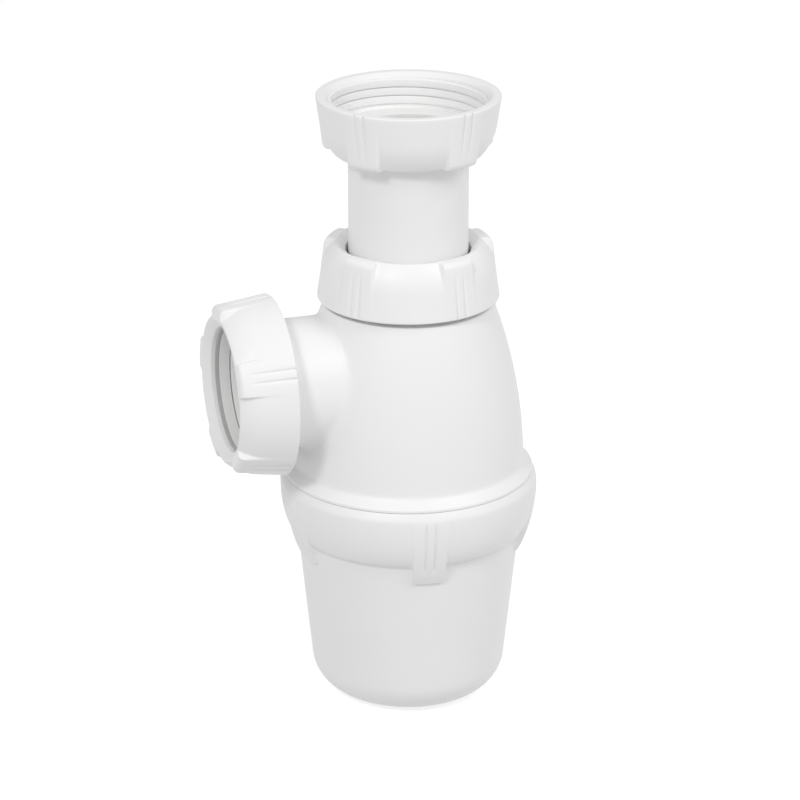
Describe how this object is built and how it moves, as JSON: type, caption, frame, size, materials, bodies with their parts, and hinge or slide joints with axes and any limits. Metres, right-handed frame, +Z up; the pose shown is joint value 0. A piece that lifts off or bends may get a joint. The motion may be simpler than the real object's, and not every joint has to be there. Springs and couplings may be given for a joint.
{
  "type": "basin bottle trap",
  "caption": "White plastic bottle trap for a basin: screw-off cup, domed bottle with a side outlet, sliding inlet tube and gripped slip nuts.",
  "frame": {"origin": "centre of the cup's flat base", "axes": "+Z up the axis of the bottle and the inlet tube, +X along the axis of the outlet"},
  "size_m": [0.0876, 0.0701, 0.1694],
  "materials": {
    "white_plastic": "satin",
    "seal_rubber": "matt"
  },
  "bodies": {
    "bottle": {"trap_body": "white_plastic"},
    "tube": {"inlet_tube": "white_plastic", "inlet_gasket": "seal_rubber"},
    "inlet_nut": {"inlet_nut": "white_plastic"},
    "neck_rings": {"neck_seal": "seal_rubber", "neck_slip_washer": "white_plastic"},
    "neck_nut": {"neck_nut": "white_plastic"},
    "outlet_rings": {"outlet_seal": "seal_rubber", "outlet_slip_washer": "white_plastic"},
    "outlet_nut": {"outlet_nut": "white_plastic"},
    "cup_gasket": {"cup_gasket": "seal_rubber"},
    "cup": {"cup": "white_plastic"}
  },
  "joints": [
    {"name": "tube_slide", "type": "slide", "parent": "bottle", "child": "tube", "axis": [0, 0, 1], "range_m": [-0.012, 0.03]},
    {"name": "inlet_nut_turn", "type": "hinge", "parent": "tube", "child": "inlet_nut", "pos_m": [0, 0, 0.162], "axis": [0, 0, 1], "continuous": true},
    {"name": "neck_rings_lift", "type": "slide", "parent": "bottle", "child": "neck_rings", "axis": [0, 0, 1], "range_m": [0, 0.0082]},
    {"name": "neck_nut_turn", "type": "hinge", "parent": "neck_rings", "child": "neck_nut", "pos_m": [0, 0, 0.12], "axis": [0, 0, 1], "range_deg": [0, 1260]},
    {"name": "outlet_rings_draw", "type": "slide", "parent": "bottle", "child": "outlet_rings", "axis": [1, 0, 0], "range_m": [0, 0.0082]},
    {"name": "outlet_nut_turn", "type": "hinge", "parent": "outlet_rings", "child": "outlet_nut", "pos_m": [0.045, 0, 0.0925], "axis": [1, 0, 0], "range_deg": [0, 1260]},
    {"name": "cup_gasket_drop", "type": "slide", "parent": "bottle", "child": "cup_gasket", "axis": [0, 0, -1], "range_m": [0, 0.0121]},
    {"name": "cup_turn", "type": "hinge", "parent": "cup_gasket", "child": "cup", "pos_m": [0, 0, 0.055], "axis": [0, 0, -1], "range_deg": [0, 1080]}
  ],
  "couplings": [
    {"joint": "neck_rings_lift", "follows": "neck_nut_turn", "m_per_rad": 0.00036749},
    {"joint": "outlet_rings_draw", "follows": "outlet_nut_turn", "m_per_rad": 0.00036749},
    {"joint": "cup_gasket_drop", "follows": "cup_turn", "m_per_rad": 0.00063662}
  ]
}
